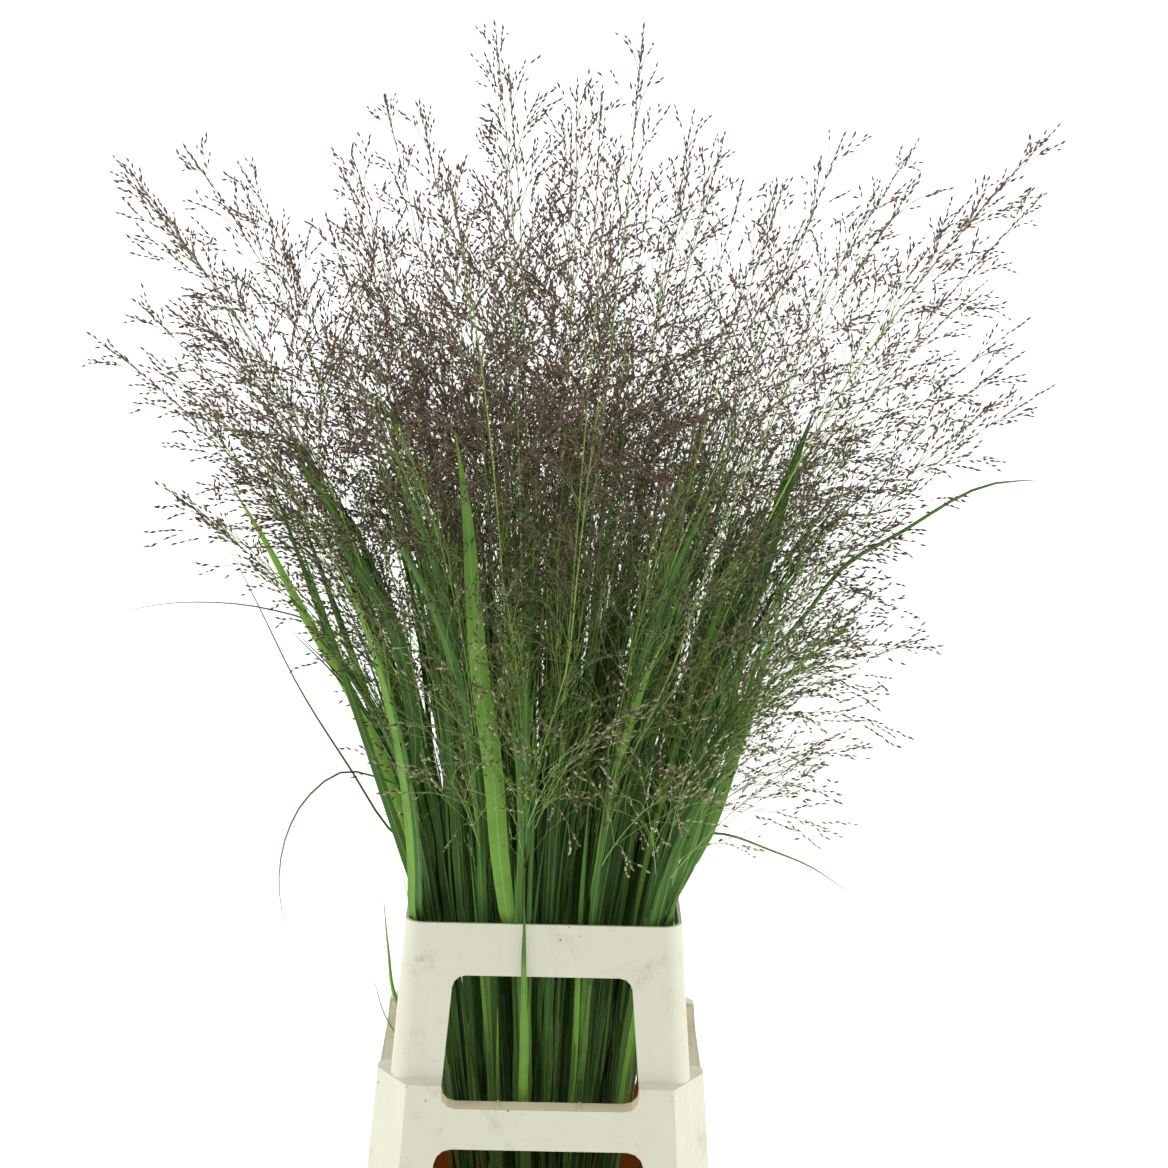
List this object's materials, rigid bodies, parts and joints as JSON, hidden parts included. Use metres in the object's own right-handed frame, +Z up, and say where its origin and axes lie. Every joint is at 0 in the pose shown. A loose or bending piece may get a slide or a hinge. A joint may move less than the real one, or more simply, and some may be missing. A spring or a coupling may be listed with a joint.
{
  "type": "cut switchgrass in a bucket with a windowed collar",
  "caption": "Full bunch of cut switchgrass with airy purple-brown panicles, standing in a cream plastic bucket with a windowed collar.",
  "frame": {"origin": "centre of the bucket's base, on the surface it stands on", "axes": "+Z up along the stems, -Y towards the front"},
  "size_m": [0.824, 0.6547, 1.1383],
  "materials": {
    "collar_plastic": "satin moulded polypropylene, ivory, lightly scuffed",
    "bucket_plastic": "satin moulded polypropylene, ivory",
    "grass": "fresh leaf, satin, ribbed lengthwise",
    "panicle": "dry husk, matte",
    "water": "clear"
  },
  "bodies": {
    "root": {"bucket": "bucket_plastic", "collar": "collar_plastic", "stem_01": "grass", "stem_02": "grass", "stem_03": "grass", "stem_04": "grass", "stem_05": "grass", "stem_06": "grass", "stem_07": "grass", "stem_08": "grass", "stem_09": "grass", "stem_10": "grass", "stem_11": "grass", "stem_12": "grass", "stem_13": "grass", "stem_14": "grass", "stem_15": "grass", "stem_16": "grass", "stem_17": "grass", "stem_18": "grass", "stem_19": "grass", "stem_20": "grass", "stem_21": "grass", "stem_22": "grass", "stem_23": "grass", "stem_24": "grass", "stem_25": "grass", "stem_26": "grass", "stem_27": "grass", "stem_28": "grass", "stem_29": "grass", "stem_30": "grass", "stem_31": "grass", "stem_32": "grass", "stem_33": "grass", "stem_34": "grass", "stem_35": "grass", "stem_36": "grass", "stem_37": "grass", "stem_38": "grass", "stem_39": "grass", "stem_40": "grass", "stem_41": "grass", "stem_42": "grass", "water": "water"}
  },
  "joints": []
}
